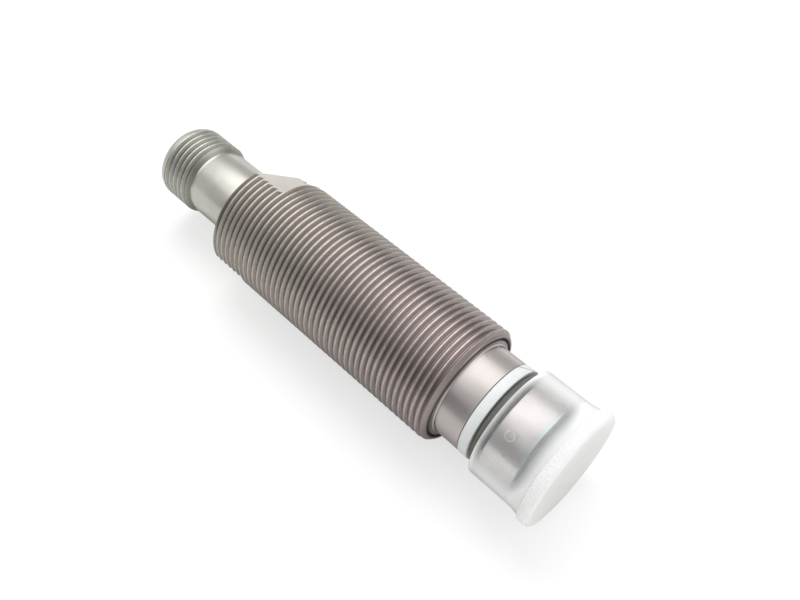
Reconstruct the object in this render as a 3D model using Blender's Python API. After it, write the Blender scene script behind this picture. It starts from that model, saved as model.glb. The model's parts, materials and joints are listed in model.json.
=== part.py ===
# Threaded proximity sensor for high pressure, with a plug connector and a push-on nose cap.
# Every turned piece is drawn along its own Z axis, from the plug's rim (z = 0) to the cap's end.

import math

import bmesh
import bpy
from mathutils import Matrix, Vector

MM = 0.001

# Barrel
BARREL_DIAMETER = 18.0 * MM  # over the crests of the M18 x 1 thread
BARREL_LENGTH = 42.75 * MM
BARREL_CHAMFER = 0.6 * MM
THREAD_PITCH = 1.0 * MM
THREAD_DEPTH = 0.55 * MM
THREAD_PLACE = 0.06 * MM  # where a crest crosses the X axis, from the barrel's rear end
BARREL_BORE = 10.0 * MM
BARREL_BORE_DEPTH = 39.0 * MM
FLAT_ACROSS = 14.0 * MM  # two wrench flats
FLAT_LENGTH = 6.2 * MM
ROLL = math.radians(41.5)  # how far the upper flat has rolled from straight up, as it lies

# Sealing nose, one piece with the barrel
NOSE_DIAMETER = 14.0 * MM
NOSE_LENGTH = 13.45 * MM
NOSE_BORE = 8.0 * MM
NOSE_FILLET = 0.2 * MM
NOSE_CHAMFER = 0.8 * MM
NOSE_CHAMFER_DEPTH = 0.45 * MM
POCKET_DIAMETER = 12.0 * MM

# Seal groove, backup ring and O-ring
SEAL_LAND = 4.15 * MM  # plain nose between the barrel's shoulder and the groove
SEAL_FLOOR_DIAMETER = 11.0 * MM
BACKUP_WIDTH = 1.5 * MM
BACKUP_PROUD = 0.08 * MM
BACKUP_EDGE = 0.15 * MM
BACKUP_SPLIT = 0.3 * MM
BACKUP_SPLIT_SLANT = math.radians(35.0)
BACKUP_SPLIT_PLACE = math.radians(2.5)
O_RING_CORD = 1.6 * MM
O_RING_ROOM = 0.4 * MM  # free width left in the groove

# Plug shell
PLUG_DIAMETER = 12.0 * MM  # over the crests of the M12 x 1 thread
PLUG_LENGTH = 6.9 * MM
PLUG_LEAD_IN = 1.3 * MM  # rounded start of the thread, along the axis
PLUG_LEAD_IN_DEPTH = 0.7 * MM
PLUG_RELIEF_WIDTH = 0.6 * MM
PLUG_RELIEF_DIAMETER = 10.0 * MM
NECK_DIAMETER = 10.8 * MM
NECK_LENGTH = 9.4 * MM
SPIGOT_LENGTH = 5.5 * MM  # how far the neck goes into the barrel
SOCKET_BORE = 8.6 * MM
SOCKET_BORE_DEPTH = 10.0 * MM
CARRIER_BORE = 9.2 * MM

# Contact insert
CARRIER_FACE_DEPTH = 8.6 * MM
CARRIER_END_DEPTH = 15.4 * MM
CARRIER_GROOVE_DEPTH = 12.0 * MM
CARRIER_GROOVE_WIDTH = 1.3 * MM
CARRIER_GROOVE_DIAMETER = 6.8 * MM
KEY_LENGTH = 6.0 * MM
KEY_WIDTH = 1.0 * MM
KEY_HEIGHT = 0.7 * MM
PIN_COUNT = 4
PIN_CIRCLE = 5.0 * MM
PIN_DIAMETER = 1.0 * MM
PIN_SETBACK = 1.2 * MM
PIN_TAIL = 0.6 * MM

# Wires and potting
WIRE_DIAMETER = 0.6 * MM
WIRE_PAD = 2.6 * MM  # wire laid flat on the board
COIL_LEAD_DIAMETER = 0.4 * MM
COIL_LEAD_SPREAD = 3.2 * MM
COIL_PAD_SPREAD = 1.5 * MM
COIL_PAD = 1.5 * MM

# Circuit board and the parts on it: length, width, height, place along it, place across it, side
BOARD_THICKNESS = 1.0 * MM
BOARD_LENGTH = 32.0 * MM
PART_EDGE = 0.15 * MM
BOARD_PARTS = {
    "oscillator_chip": (5.0 * MM, 4.0 * MM, 1.5 * MM, 21.0 * MM, 0.0, 1),
    "output_transistor": (3.0 * MM, 3.0 * MM, 1.2 * MM, 13.5 * MM, 1.0 * MM, 1),
    "protection_diode": (4.4 * MM, 2.6 * MM, 2.0 * MM, 9.0 * MM, 0.0, -1),
    "filter_capacitor_1": (3.2 * MM, 1.6 * MM, 1.4 * MM, 26.0 * MM, 1.6 * MM, -1),
    "filter_capacitor_2": (3.2 * MM, 1.6 * MM, 1.4 * MM, 26.0 * MM, -1.6 * MM, -1),
    "tuning_resistor": (2.0 * MM, 1.25 * MM, 0.6 * MM, 26.5 * MM, 0.0, 1),
    "load_resistor": (2.0 * MM, 1.25 * MM, 0.6 * MM, 13.5 * MM, -2.0 * MM, 1),
}

# Coil behind the sensing face
FACE_THICKNESS = 1.3 * MM
CORE_LENGTH = 3.0 * MM
CORE_BASE = 1.0 * MM
CORE_WALL = 1.0 * MM
CORE_POST = 4.4 * MM
CORE_POST_BORE = 1.6 * MM
BOBBIN_WALL = 0.4 * MM
BOBBIN_FLANGE = 0.35 * MM
WINDING_SETBACK = 0.4 * MM

# Push-on cap
CAP_LENGTH = 9.95 * MM
CAP_ENGAGEMENT = 6.55 * MM  # how far the cap goes over the nose
CAP_WALL = 0.75 * MM
CAP_FLOOR = 1.4 * MM
CAP_FLANGE_SETBACK = 0.3 * MM  # inside the thread's crests, so that the cap passes the sensor's port
CAP_FLANGE_WIDTH = 1.7 * MM
CAP_FLARE = 0.9 * MM
CAP_LIP_ROUND = 0.45 * MM
CAP_EDGE_ROUND = 0.3 * MM
CAP_LEAD_IN = 0.3 * MM

# Clearances
PRESS_GAP = 0.1 * MM  # pieces pressed or sealed into each other
FINE_GAP = 0.15 * MM  # coil, board parts and wires
SEAT_GAP = 0.3 * MM  # faces that stop against each other

# Mesh
STEPS = 48
FINE_STEPS = 24
BARREL_STEPS = 32  # facets wide enough for the barrel to lie still on one
MERGE = 1e-7
WELD = 1e-6
CUT_MARGIN = 1.0 * MM
FACET_PHASE = math.pi + ROLL + math.pi / BARREL_STEPS  # a facet of the barrel faces the ground

# Radii and places along the axis that follow from the sizes above
barrel_radius = BARREL_DIAMETER / 2
nose_radius = NOSE_DIAMETER / 2
neck_radius = NECK_DIAMETER / 2
barrel_bore_radius = BARREL_BORE / 2
nose_bore_radius = NOSE_BORE / 2
pocket_radius = POCKET_DIAMETER / 2
pin_circle_radius = PIN_CIRCLE / 2
pin_radius = PIN_DIAMETER / 2
wire_radius = WIRE_DIAMETER / 2
coil_lead_radius = COIL_LEAD_DIAMETER / 2

neck_start = PLUG_LENGTH + PLUG_RELIEF_WIDTH
barrel_start = neck_start + NECK_LENGTH
shell_end = barrel_start + SPIGOT_LENGTH
shoulder = barrel_start + BARREL_LENGTH
nose_end = shoulder + NOSE_LENGTH
cap_start = nose_end - CAP_ENGAGEMENT
cap_end = cap_start + CAP_LENGTH

seal_groove_start = shoulder + SEAL_LAND
backup_start = seal_groove_start + PRESS_GAP
backup_end = backup_start + BACKUP_WIDTH
ring_start = backup_end + PRESS_GAP
seal_groove_end = ring_start + O_RING_CORD + O_RING_ROOM
seal_floor = SEAL_FLOOR_DIAMETER / 2
ring_inner = seal_floor + PRESS_GAP
ring_outer = ring_inner + O_RING_CORD

core_end = nose_end - FACE_THICKNESS - PRESS_GAP
core_start = core_end - CORE_LENGTH
pocket_floor = core_start - PRESS_GAP
core_radius = pocket_radius - PRESS_GAP
core_inner = core_radius - CORE_WALL
post_radius = CORE_POST / 2
coil_floor = core_start + CORE_BASE

board_start = shell_end + 2 * SEAT_GAP
board_end = board_start + BOARD_LENGTH
board_half = BOARD_THICKNESS / 2
board_half_width = math.sqrt((barrel_bore_radius - PRESS_GAP) ** 2 - board_half ** 2)

carrier_radius = CARRIER_BORE / 2 - PRESS_GAP


def clear_scene():
    for item in list(bpy.data.objects):
        bpy.data.objects.remove(item, do_unlink=True)


def make_material(name, color, roughness, metallic=0.0, alpha=1.0):
    material = bpy.data.materials.new(name)
    material.use_nodes = True
    shader = material.node_tree.nodes["Principled BSDF"]
    shader.inputs["Base Color"].default_value = (*color, 1.0)
    shader.inputs["Roughness"].default_value = roughness
    shader.inputs["Metallic"].default_value = metallic
    shader.inputs["Alpha"].default_value = alpha
    return material


def add_object(name, mesh, parent, material=None):
    item = bpy.data.objects.new(name, mesh)
    bpy.context.scene.collection.objects.link(item)
    item.parent = parent
    if material:
        mesh.materials.append(material)
    return item


def mesh_from(bm, name, smooth=True):
    bmesh.ops.recalc_face_normals(bm, faces=bm.faces)
    mesh = bpy.data.meshes.new(name)
    bm.to_mesh(mesh)
    bm.free()
    if smooth:
        mesh.shade_smooth()
        mesh.set_sharp_from_angle(angle=math.radians(30.0))
    return mesh


def turned_mesh(name, outline, steps=STEPS, centre=(0.0, 0.0)):
    """Turn an outline of (z, radius) points; it closes on itself unless both ends lie on the axis."""
    bm = bmesh.new()
    start = Vector((math.cos(FACET_PHASE), math.sin(FACET_PHASE), 0.0))
    points = [bm.verts.new(start * radius + Vector((0.0, 0.0, z))) for z, radius in outline]
    for first, second in zip(points, points[1:]):
        bm.edges.new((first, second))
    on_axis = outline[0][1] == 0.0 and outline[-1][1] == 0.0
    if not on_axis:
        bm.edges.new((points[-1], points[0]))
    bmesh.ops.spin(bm, geom=bm.verts[:] + bm.edges[:], cent=(0.0, 0.0, 0.0), axis=(0.0, 0.0, 1.0),
                   angle=2 * math.pi, steps=steps, use_merge=True, use_duplicate=False)
    bmesh.ops.remove_doubles(bm, verts=bm.verts, dist=MERGE)
    bmesh.ops.translate(bm, verts=bm.verts, vec=(*centre, 0.0))
    return mesh_from(bm, name)


def arc(centre_z, centre_radius, radius, start, end, pieces):
    """Points of (z, radius) round a centre, with angles in degrees from the +z direction."""
    points = []
    for index in range(pieces + 1):
        angle = math.radians(start + (end - start) * index / pieces)
        points.append((centre_z + radius * math.cos(angle), centre_radius + radius * math.sin(angle)))
    return points


def thread_mesh(name, radius, start, end, steps):
    """A rod with flat ends and one right-hand V thread wound along it, with sharp crests and roots."""
    bm = bmesh.new()
    lead = 2  # turns of thread before the rod's start, which are cut away again
    turns = math.ceil((end - start) / THREAD_PITCH) + lead
    crest, root = [], []
    for index in range(turns * steps + 1):
        angle = FACET_PHASE + 2 * math.pi * index / steps
        z = start + THREAD_PLACE + THREAD_PITCH * (angle / (2 * math.pi) - lead)
        crest.append(bm.verts.new((*on_circle(radius, angle), z)))
        root.append(bm.verts.new((*on_circle(radius - THREAD_DEPTH, angle), z + THREAD_PITCH / 2)))
    for index in range(turns * steps):
        bm.faces.new((crest[index], crest[index + 1], root[index + 1], root[index]))
    for index in range((turns - 1) * steps):
        ahead = index + steps
        bm.faces.new((root[index], root[index + 1], crest[ahead + 1], crest[ahead]))
    for z, side in ((start, -1.0), (end, 1.0)):
        bmesh.ops.bisect_plane(bm, geom=bm.verts[:] + bm.edges[:] + bm.faces[:], dist=MERGE,
                               plane_co=(0.0, 0.0, z), plane_no=(0.0, 0.0, side), clear_outer=True)
    rims = [edge for edge in bm.edges if edge.is_boundary]
    bmesh.ops.holes_fill(bm, edges=rims, sides=0)
    return mesh_from(bm, name)


def block_mesh(name, low, high, edge=0.0):
    bm = bmesh.new()
    bmesh.ops.create_cube(bm, size=1.0)
    size = [top - bottom for bottom, top in zip(low, high)]
    middle = [(top + bottom) / 2 for bottom, top in zip(low, high)]
    bmesh.ops.scale(bm, vec=size, verts=bm.verts)
    bmesh.ops.translate(bm, vec=middle, verts=bm.verts)
    if edge:
        bmesh.ops.bevel(bm, geom=bm.edges[:], offset=edge, segments=1, profile=0.5,
                        affect="EDGES", material=-1)
    return mesh_from(bm, name, smooth=False)


def drill_mesh(name, start, end, radius, place):
    """A drill that goes right through from one face to the other."""
    low = start - CUT_MARGIN
    high = end + CUT_MARGIN
    outline = [(low, 0.0), (low, radius), (high, radius), (high, 0.0)]
    return turned_mesh(name, outline, FINE_STEPS // 2, place)


def add_cutter(name, mesh, parent):
    cutter = add_object(name, mesh, parent)
    cutter.hide_render = True
    cutter.display_type = "WIRE"
    return cutter


def boolean(item, cutter, operation="DIFFERENCE"):
    modifier = item.modifiers.new(cutter.name, "BOOLEAN")
    modifier.operation = operation
    modifier.solver = "EXACT"
    modifier.object = cutter


def weld(item):
    """Join the points that cuts along the same facets leave a hair apart."""
    item.modifiers.new("weld", "WELD").merge_threshold = WELD


def on_circle(radius, angle):
    return radius * math.cos(angle), radius * math.sin(angle)


def pin_places():
    """Contacts stand at the corners of a square, with the coding key between the first and the last."""
    turn = 2 * math.pi / PIN_COUNT
    return [on_circle(pin_circle_radius, turn * (index + 0.5)) for index in range(PIN_COUNT)]


def make_frames():
    """The sensor lies on its barrel along X; the cap has a frame of its own on the same axis."""
    lie_height = barrel_radius * math.cos(math.pi / BARREL_STEPS)
    place = Matrix.Translation((-cap_end / 2, 0.0, lie_height))
    turn = Matrix.Rotation(math.pi - ROLL, 4, "X") @ Matrix.Rotation(math.pi / 2, 4, "Y")
    sensor_frame = add_object("sensor_frame", None, None)
    sensor_frame.matrix_world = place @ turn
    cap_frame = add_object("cap_frame", None, sensor_frame)
    return sensor_frame, cap_frame


def make_barrel(frame, material):
    nose_tip = nose_radius - NOSE_CHAMFER_DEPTH
    counterbore = neck_radius + PRESS_GAP
    counterbore_end = shell_end + SEAT_GAP
    bore_end = barrel_start + BARREL_BORE_DEPTH
    shoulder_radius = barrel_radius - BARREL_CHAMFER
    blank_radius = barrel_radius + CUT_MARGIN
    chamfer_run = blank_radius - shoulder_radius  # both chamfers lie at 45 degrees
    outline = [
        (barrel_start, counterbore),
        (barrel_start, shoulder_radius),
        (barrel_start + chamfer_run, blank_radius),
        (shoulder - chamfer_run, blank_radius),
        (shoulder, shoulder_radius),
        *arc(shoulder + NOSE_FILLET, nose_radius + NOSE_FILLET, NOSE_FILLET, 180.0, 270.0, 2),
        (seal_groove_start, nose_radius),
        (seal_groove_start, seal_floor),
        (seal_groove_end, seal_floor),
        (seal_groove_end, nose_radius),
        (nose_end - NOSE_CHAMFER, nose_radius),
        (nose_end, nose_tip),
        (nose_end, pocket_radius),
        (pocket_floor, pocket_radius),
        (pocket_floor, nose_bore_radius),
        (bore_end + barrel_bore_radius - nose_bore_radius, nose_bore_radius),
        (bore_end, barrel_bore_radius),
        (counterbore_end, barrel_bore_radius),
        (counterbore_end, counterbore),
    ]
    turned = turned_mesh("housing_barrel", outline, BARREL_STEPS)
    barrel = add_object("housing_barrel", turned, frame, material)
    thread_start = barrel_start - THREAD_PITCH
    thread = thread_mesh("barrel_thread", barrel_radius, thread_start, nose_end + CUT_MARGIN, BARREL_STEPS)
    boolean(barrel, add_cutter("barrel_thread", thread, frame), "INTERSECT")
    reach = blank_radius
    flat_start = barrel_start - CUT_MARGIN
    flat_end = barrel_start + FLAT_LENGTH
    for side, name in ((1, "upper_flat_cut"), (-1, "lower_flat_cut")):
        near, far = sorted((side * FLAT_ACROSS / 2, side * reach))
        cut = block_mesh(name, (near, -reach, flat_start), (far, reach, flat_end))
        boolean(barrel, add_cutter(name, cut, frame))
    weld(barrel)


def make_connector_shell(frame, material):
    plug_radius = PLUG_DIAMETER / 2
    relief = PLUG_RELIEF_DIAMETER / 2
    relief_chamfer = (plug_radius - relief) / 2
    socket = SOCKET_BORE / 2
    carrier_bore = CARRIER_BORE / 2
    lead_in = [(PLUG_LEAD_IN * along, plug_radius + PLUG_LEAD_IN_DEPTH * out)
               for along, out in arc(1.0, -1.0, 1.0, 180.0, 90.0, 3)]
    outline = [
        (0.0, socket),
        *lead_in,
        (PLUG_LENGTH - relief_chamfer, plug_radius),
        (PLUG_LENGTH, relief),
        (neck_start, relief),
        (neck_start, neck_radius),
        (shell_end, neck_radius),
        (shell_end, carrier_bore),
        (SOCKET_BORE_DEPTH, carrier_bore),
        (SOCKET_BORE_DEPTH, socket),
    ]
    add_object("connector_shell", turned_mesh("connector_shell", outline), frame, material)


def make_contact_carrier(frame, material):
    nose = SOCKET_BORE / 2 - PRESS_GAP
    groove = CARRIER_GROOVE_DIAMETER / 2
    groove_end = CARRIER_GROOVE_DEPTH + CARRIER_GROOVE_WIDTH
    step = SOCKET_BORE_DEPTH + PRESS_GAP
    outline = [
        (CARRIER_FACE_DEPTH, 0.0),
        (CARRIER_FACE_DEPTH, nose),
        (step, nose),
        (step, carrier_radius),
        (CARRIER_GROOVE_DEPTH, carrier_radius),
        (CARRIER_GROOVE_DEPTH, groove),
        (groove_end, groove),
        (groove_end, carrier_radius),
        (CARRIER_END_DEPTH, carrier_radius),
        (CARRIER_END_DEPTH, 0.0),
    ]
    turned = turned_mesh("contact_carrier", outline, FINE_STEPS)
    carrier = add_object("contact_carrier", turned, frame, material)
    key_top = nose - PRESS_GAP
    key = block_mesh("key_rib", (key_top - KEY_HEIGHT, -KEY_WIDTH / 2, CARRIER_FACE_DEPTH - KEY_LENGTH),
                     (key_top, KEY_WIDTH / 2, CARRIER_FACE_DEPTH + KEY_HEIGHT))
    boolean(carrier, add_cutter("key_rib", key, frame), "UNION")
    for number, place in enumerate(pin_places(), 1):
        name = f"pin_hole_{number}"
        drill = drill_mesh(name, CARRIER_FACE_DEPTH, CARRIER_END_DEPTH, pin_radius + PRESS_GAP, place)
        boolean(carrier, add_cutter(name, drill, frame))


def make_contact_pins(frame, material):
    tip = PIN_SETBACK + pin_radius
    tail_end = CARRIER_END_DEPTH + PIN_TAIL
    outline = [(PIN_SETBACK, 0.0)] + arc(tip, 0.0, pin_radius, 150.0, 90.0, 2)
    outline += [(tail_end, pin_radius), (tail_end, 0.0)]
    for number, place in enumerate(pin_places(), 1):
        name = f"contact_pin_{number}"
        add_object(name, turned_mesh(name, outline, FINE_STEPS // 2, place), frame, material)


def cord_ring(name, inner, outer, start, frame, material, pieces=10, steps=STEPS):
    cord = (outer - inner) / 2
    outline = arc(start + cord, inner + cord, cord, 0.0, 360.0, pieces)[:-1]
    return add_object(name, turned_mesh(name, outline, steps), frame, material)


def make_seals(frame, white, dark):
    outline = [
        (backup_start, ring_inner),
        (backup_start, nose_radius + BACKUP_PROUD - BACKUP_EDGE),
        (backup_start + BACKUP_EDGE, nose_radius + BACKUP_PROUD),
        (backup_end - BACKUP_EDGE, nose_radius + BACKUP_PROUD),
        (backup_end, nose_radius + BACKUP_PROUD - BACKUP_EDGE),
        (backup_end, ring_inner),
    ]
    backup = add_object("backup_ring", turned_mesh("backup_ring", outline), frame, white)
    half = BACKUP_SPLIT / 2
    reach = nose_radius + CUT_MARGIN
    saw = block_mesh("backup_saw", (0.0, -half, -BACKUP_WIDTH), (reach, half, BACKUP_WIDTH))
    middle = Matrix.Translation((0.0, 0.0, (backup_start + backup_end) / 2))
    place = Matrix.Rotation(BACKUP_SPLIT_PLACE, 4, "Z")
    saw.transform(middle @ place @ Matrix.Rotation(BACKUP_SPLIT_SLANT, 4, "X"))
    boolean(backup, add_cutter("backup_saw", saw, frame))
    cord_ring("nose_o_ring", ring_inner, ring_outer, ring_start, frame, dark)

    inner = CARRIER_GROOVE_DIAMETER / 2 + PRESS_GAP
    cord = carrier_radius - inner
    start = CARRIER_GROOVE_DEPTH + (CARRIER_GROOVE_WIDTH - cord) / 2
    cord_ring("carrier_seal", inner, carrier_radius, start, frame, dark, pieces=8, steps=FINE_STEPS)


def make_rear_potting(frame, material):
    start = CARRIER_END_DEPTH + FINE_GAP
    outline = [(start, 0.0), (start, carrier_radius), (shell_end, carrier_radius), (shell_end, 0.0)]
    turned = turned_mesh("rear_potting", outline, FINE_STEPS)
    potting = add_object("rear_potting", turned, frame, material)
    for number, place in enumerate(pin_places(), 1):
        name = f"wire_hole_{number}"
        drill = drill_mesh(name, start, shell_end, pin_radius + PRESS_GAP, place)
        boolean(potting, add_cutter(name, drill, frame))


def ease(share):
    return (1 - math.cos(math.pi * share)) / 2


def add_wire(name, start, end, straight, landing, radius, frame, material, bends=6):
    """A wire that leaves straight along the axis, eases over to its pad and lies along it."""
    low, high = Vector(start), Vector(end)
    bend_start = low.z + straight
    bend_end = high.z - landing
    points = [low]
    for index in range(bends + 1):
        share = index / bends
        point = low.lerp(high, ease(share))
        point.z = bend_start + (bend_end - bend_start) * share
        points.append(point)
    points.append(high)
    curve = bpy.data.curves.new(name, "CURVE")
    curve.dimensions = "3D"
    curve.bevel_depth = radius
    curve.bevel_resolution = 2
    curve.use_fill_caps = True
    spline = curve.splines.new("POLY")
    spline.points.add(len(points) - 1)
    for slot, point in zip(spline.points, points):
        slot.co = (*point, 1.0)
    add_object(name, curve, frame, material)


def make_wires(frame, insulation, copper):
    start = CARRIER_END_DEPTH + PIN_TAIL + FINE_GAP
    pad_height = board_half + FINE_GAP + wire_radius
    for number, (x, y) in enumerate(pin_places(), 1):
        side = math.copysign(1.0, x)
        landing_end = board_start + 2 * WIRE_PAD
        add_wire(f"lead_wire_{number}", (x, y, start), (side * pad_height, y, landing_end),
                 shell_end - start, WIRE_PAD, wire_radius, frame, insulation)
    pad_height = board_half + FINE_GAP + coil_lead_radius
    for number, side in ((1, 1), (2, -1)):
        pad = (pad_height, side * COIL_PAD_SPREAD, board_end - COIL_PAD)
        hole = (0.0, side * COIL_LEAD_SPREAD, coil_floor)
        add_wire(f"coil_lead_{number}", pad, hole, COIL_PAD, coil_floor - pocket_floor,
                 coil_lead_radius, frame, copper)


def make_board(frame, board_material, part_materials):
    board = block_mesh("circuit_board", (-board_half, -board_half_width, board_start),
                       (board_half, board_half_width, board_end))
    add_object("circuit_board", board, frame, board_material)
    for name, (length, width, height, along, across, side) in BOARD_PARTS.items():
        foot = side * (board_half + FINE_GAP)
        near, far = sorted((foot, foot + side * height))
        low = (near, across - width / 2, board_start + along - length / 2)
        high = (far, across + width / 2, board_start + along + length / 2)
        add_object(name, block_mesh(name, low, high, PART_EDGE), frame, part_materials[name])


def make_coil(frame, ferrite, nylon, copper, face_material):
    face = [(nose_end - FACE_THICKNESS, 0.0), (nose_end - FACE_THICKNESS, core_radius),
            (nose_end, core_radius), (nose_end, 0.0)]
    add_object("sensing_face", turned_mesh("sensing_face", face, FINE_STEPS), frame, face_material)

    post_bore = CORE_POST_BORE / 2
    outline = [
        (core_start, post_bore),
        (core_start, core_radius),
        (core_end, core_radius),
        (core_end, core_inner),
        (coil_floor, core_inner),
        (coil_floor, post_radius),
        (core_end, post_radius),
        (core_end, post_bore),
    ]
    core = add_object("ferrite_core", turned_mesh("ferrite_core", outline, FINE_STEPS), frame, ferrite)
    for number, side in ((1, 1), (2, -1)):
        name = f"core_hole_{number}"
        place = (0.0, side * COIL_LEAD_SPREAD)
        drill = drill_mesh(name, core_start, coil_floor, coil_lead_radius + FINE_GAP, place)
        boolean(core, add_cutter(name, drill, frame))

    start = coil_floor + PRESS_GAP
    inner = post_radius + PRESS_GAP
    tube = inner + BOBBIN_WALL
    flange = core_inner - PRESS_GAP
    outline = [
        (start, inner),
        (start, flange),
        (start + BOBBIN_FLANGE, flange),
        (start + BOBBIN_FLANGE, tube),
        (core_end - BOBBIN_FLANGE, tube),
        (core_end - BOBBIN_FLANGE, flange),
        (core_end, flange),
        (core_end, inner),
    ]
    add_object("coil_bobbin", turned_mesh("coil_bobbin", outline, FINE_STEPS), frame, nylon)
    first = start + BOBBIN_FLANGE + PRESS_GAP
    last = core_end - BOBBIN_FLANGE - PRESS_GAP
    top = flange - WINDING_SETBACK
    outline = [(first, tube + PRESS_GAP), (first, top), (last, top), (last, tube + PRESS_GAP)]
    add_object("coil_winding", turned_mesh("coil_winding", outline, FINE_STEPS), frame, copper)


def make_cap(frame, material):
    bore = ring_outer + PRESS_GAP
    outer = bore + CAP_WALL
    flange = barrel_radius - CAP_FLANGE_SETBACK
    flange_start = cap_end - CAP_FLANGE_WIDTH
    floor = cap_end - CAP_FLOOR
    lip = arc(cap_start + CAP_LIP_ROUND, outer - CAP_LIP_ROUND, CAP_LIP_ROUND, 180.0, 90.0, 4)
    edge = arc(cap_end - CAP_EDGE_ROUND, flange - CAP_EDGE_ROUND, CAP_EDGE_ROUND, 90.0, 0.0, 3)
    flare = [(flange_start - CAP_FLARE * (1 - share), outer + (flange - outer) * share ** 2 / 2)
             for share in (0.0, 0.5, 1.0)]
    outline = [(cap_start + CAP_LEAD_IN, bore), (cap_start, bore + CAP_LEAD_IN / 2)]
    outline += lip + flare + [(flange_start, flange)] + edge
    outline += [(cap_end, 0.0), (floor, 0.0), (floor, bore)]
    outline = outline[-2:] + outline[:-2]
    add_object("protective_cap", turned_mesh("protective_cap", outline), frame, material)


def main():
    clear_scene()
    sensor_frame, cap_frame = make_frames()

    barrel_steel = make_material("barrel_steel", (0.56, 0.53, 0.51), 0.32, 1.0)
    shell_steel = make_material("shell_steel", (0.62, 0.60, 0.55), 0.35, 1.0)
    white_ring = make_material("white_ring", (0.84, 0.86, 0.86), 0.45)
    dark_rubber = make_material("dark_rubber", (0.07, 0.07, 0.06), 0.55)
    milky_plastic = make_material("milky_plastic", (0.78, 0.79, 0.79), 0.35, alpha=0.55)
    black_plastic = make_material("black_plastic", (0.03, 0.03, 0.03), 0.5)
    face_plastic = make_material("face_plastic", (0.22, 0.27, 0.28), 0.45)
    gold = make_material("gold", (0.90, 0.66, 0.27), 0.25, 1.0)
    resin = make_material("resin", (0.05, 0.045, 0.04), 0.3)
    insulation = make_material("insulation", (0.25, 0.12, 0.06), 0.5)
    copper = make_material("copper", (0.72, 0.36, 0.20), 0.35, 1.0)
    board_green = make_material("board_green", (0.02, 0.16, 0.07), 0.4)
    chip_black = make_material("chip_black", (0.02, 0.02, 0.02), 0.5)
    ceramic = make_material("ceramic", (0.55, 0.42, 0.28), 0.5)
    ferrite = make_material("ferrite", (0.06, 0.06, 0.065), 0.7)
    nylon = make_material("nylon", (0.70, 0.68, 0.60), 0.5)

    make_barrel(sensor_frame, barrel_steel)
    make_connector_shell(sensor_frame, shell_steel)
    make_contact_carrier(sensor_frame, black_plastic)
    make_contact_pins(sensor_frame, gold)
    make_seals(sensor_frame, white_ring, dark_rubber)
    make_rear_potting(sensor_frame, resin)
    make_wires(sensor_frame, insulation, copper)
    part_materials = {name: chip_black for name in BOARD_PARTS}
    for name in ("filter_capacitor_1", "filter_capacitor_2"):
        part_materials[name] = ceramic
    make_board(sensor_frame, board_green, part_materials)
    make_coil(sensor_frame, ferrite, nylon, copper, face_plastic)
    make_cap(cap_frame, milky_plastic)


main()
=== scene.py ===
import json
import math

import bmesh
import bpy
from mathutils import Matrix, Vector


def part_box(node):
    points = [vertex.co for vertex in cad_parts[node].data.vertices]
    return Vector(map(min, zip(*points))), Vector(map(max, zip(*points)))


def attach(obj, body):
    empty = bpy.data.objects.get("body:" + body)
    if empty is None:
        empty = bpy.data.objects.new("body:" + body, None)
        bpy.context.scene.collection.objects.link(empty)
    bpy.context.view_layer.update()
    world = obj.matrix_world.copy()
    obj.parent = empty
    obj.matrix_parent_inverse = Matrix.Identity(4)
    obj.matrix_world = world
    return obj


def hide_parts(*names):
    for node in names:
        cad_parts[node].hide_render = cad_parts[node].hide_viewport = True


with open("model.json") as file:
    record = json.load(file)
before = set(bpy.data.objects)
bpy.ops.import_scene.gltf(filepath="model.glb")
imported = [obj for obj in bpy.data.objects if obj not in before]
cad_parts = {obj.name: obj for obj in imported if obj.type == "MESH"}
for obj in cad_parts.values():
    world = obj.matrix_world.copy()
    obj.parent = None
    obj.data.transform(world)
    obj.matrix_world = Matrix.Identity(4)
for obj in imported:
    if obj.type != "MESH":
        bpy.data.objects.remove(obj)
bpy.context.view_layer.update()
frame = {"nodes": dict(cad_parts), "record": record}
mm = 0.001
slack = 0.01 * mm  # for comparing places


# Places read from the frame
def halfHeight(low, high):
    return (high.z - low.z) / 2


barrelLow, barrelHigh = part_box("housing_barrel")
shellLow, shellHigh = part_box("connector_shell")
ringLow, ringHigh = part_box("backup_ring")
sealLow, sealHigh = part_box("nose_o_ring")
faceLow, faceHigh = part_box("sensing_face")
carrierLow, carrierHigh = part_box("contact_carrier")
capLow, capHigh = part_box("protective_cap")
mounts = {mount["name"]: mount for mount in frame["record"]["mounts"]}
barrelCrest = halfHeight(barrelLow, barrelHigh)
shellCrest = halfHeight(shellLow, shellHigh)
capRadius = halfHeight(capLow, capHigh)
axisHeight = (barrelLow.z + barrelHigh.z) / 2
shoulderPlace = mounts["front_shoulder"]["pos_m"][0]
flatNormal = Vector(mounts["upper_wrench_flat"]["axis"])
axisPoint = Vector((0.0, 0.0, axisHeight))
along = Vector((1.0, 0.0, 0.0))
print("frame loaded, axis", round(axisHeight / mm, 3), "mm above the table")


# Meshes turned about the sensor's axis
def quarterTurn(steps):  # angles from 0 to 90 degrees
    return [math.pi / 2 * index / steps for index in range(steps + 1)]


def softened(outline, edge, closed):  # rounds the corners of an outline of (x, radius) points
    mostCut = 0.4  # share of a side that one corner may take
    points = [Vector(point) for point in outline]
    made = []
    for index, corner in enumerate(points):
        if not closed and index in (0, len(points) - 1):
            made.append(corner)
            continue
        before = points[index - 1] - corner
        after = points[(index + 1) % len(points)] - corner
        cut = min(edge, mostCut * before.length, mostCut * after.length)
        first = corner + before.normalized() * cut
        last = corner + after.normalized() * cut
        made += [first, (first + 2 * corner + last) / 4, last]
    return made


def drawLine(bm, points, closed):
    corners = [bm.verts.new((x, radius, axisHeight)) for x, radius in points]
    for first, second in zip(corners, corners[1:]):
        bm.edges.new((first, second))
    if closed:
        bm.edges.new((corners[-1], corners[0]))


def everything(bm):
    return bm.verts[:] + bm.edges[:] + bm.faces[:]


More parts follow.
